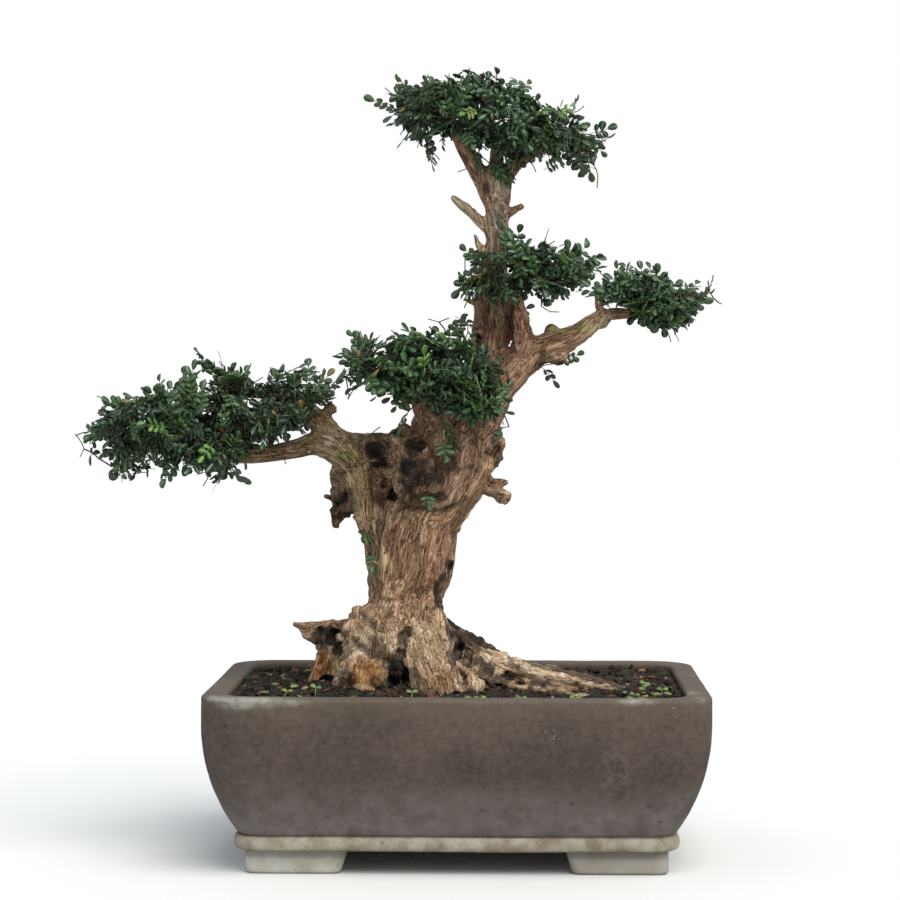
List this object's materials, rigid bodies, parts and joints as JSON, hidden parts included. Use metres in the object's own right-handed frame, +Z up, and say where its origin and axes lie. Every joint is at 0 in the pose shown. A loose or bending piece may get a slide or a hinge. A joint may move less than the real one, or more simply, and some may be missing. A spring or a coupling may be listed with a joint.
{
  "type": "bonsai tree in a ceramic pot",
  "caption": "Small-leaved bonsai tree with a thick leaning trunk, surface roots, dead stubs and separate foliage pads, in a rectangular footed pot.",
  "frame": {"origin": "under the middle of the whole tree and pot's box, on the surface that the feet stand on", "axes": "+Z up, +X along the pot's long side towards the right of the front, +Y towards the back"},
  "size_m": [0.683, 0.37, 0.8243],
  "materials": {
    "pot_clay": "unglazed, matte, with pale mineral bloom on the lip, belt and feet",
    "soil": "loose bark-based potting mix, dark and matte",
    "bark": "furrowed grey-brown bark, bleached on dead wood",
    "drain_mesh": "black plastic mesh",
    "foliage": "glossy dark green leaflets"
  },
  "bodies": {
    "root": {"pot": "pot_clay", "soil": "soil", "wood": "bark", "drain_mesh_left": "drain_mesh", "drain_mesh_right": "drain_mesh", "foliage_apex": "foliage", "foliage_middle": "foliage", "foliage_right": "foliage", "foliage_front": "foliage", "foliage_left": "foliage"}
  },
  "joints": []
}
